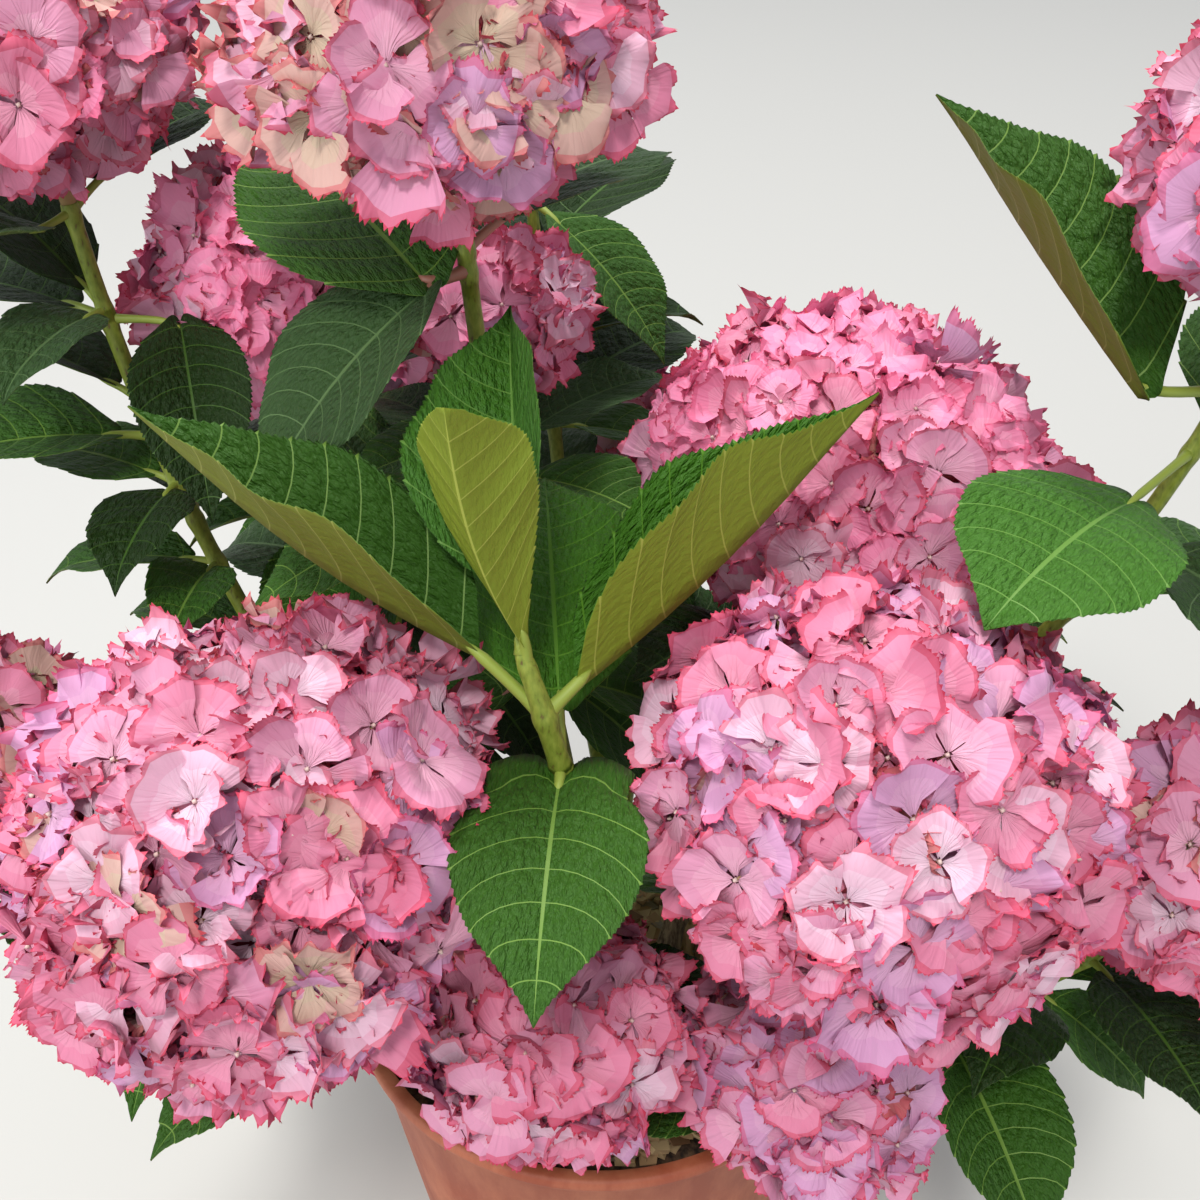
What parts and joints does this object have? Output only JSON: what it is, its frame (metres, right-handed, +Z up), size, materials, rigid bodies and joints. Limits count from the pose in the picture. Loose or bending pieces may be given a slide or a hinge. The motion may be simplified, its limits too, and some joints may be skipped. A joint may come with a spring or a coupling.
{
  "type": "potted hydrangea shrub",
  "caption": "Hydrangea shrub with domed pink flower heads over broad toothed leaves, its canes rising from the chip-covered soil of a round tapered pot with a rolled lip.",
  "frame": {"origin": "middle of the pot's flat underside", "axes": "+Z up through the plant, -Y towards the side it is seen from, +X to the right as seen from there"},
  "size_m": [0.7544, 0.6038, 0.851],
  "materials": {
    "pot": "matt terracotta-coloured moulded plastic",
    "soil": "loose potting soil under a layer of pale wood chips",
    "bark": "dull, finely cracked grey-brown bark",
    "leaves": "semi-matt green leaves and stems",
    "bloom": "soft matt pink florets with a coral rim"
  },
  "bodies": {
    "root": {"pot": "pot", "soil": "soil", "cane_1": "bark", "cane_2": "bark", "cane_3": "bark", "cane_4": "bark", "cane_5": "bark", "cane_6": "bark", "cane_7": "bark", "cane_8": "bark", "cane_9": "bark", "cane_10": "bark", "shoot_back_leafy": "leaves", "shoot_back_left": "leaves", "shoot_back_middle": "leaves", "shoot_back_right": "leaves", "shoot_behind_middle": "leaves", "shoot_centre_leafy": "leaves", "shoot_left": "leaves", "shoot_left_front": "leaves", "shoot_left_middle": "leaves", "shoot_low_front": "leaves", "shoot_low_left": "leaves", "shoot_low_middle": "leaves", "shoot_low_right": "leaves", "shoot_right": "leaves", "shoot_right_front": "leaves", "shoot_right_middle": "leaves", "shoot_top": "leaves", "bloom_back_left": "bloom", "bloom_back_middle": "bloom", "bloom_back_right": "bloom", "bloom_behind_middle": "bloom", "bloom_left": "bloom", "bloom_left_front": "bloom", "bloom_left_middle": "bloom", "bloom_low_front": "bloom", "bloom_low_left": "bloom", "bloom_low_middle": "bloom", "bloom_low_right": "bloom", "bloom_right": "bloom", "bloom_right_front": "bloom", "bloom_right_middle": "bloom", "bloom_top": "bloom"}
  },
  "joints": []
}
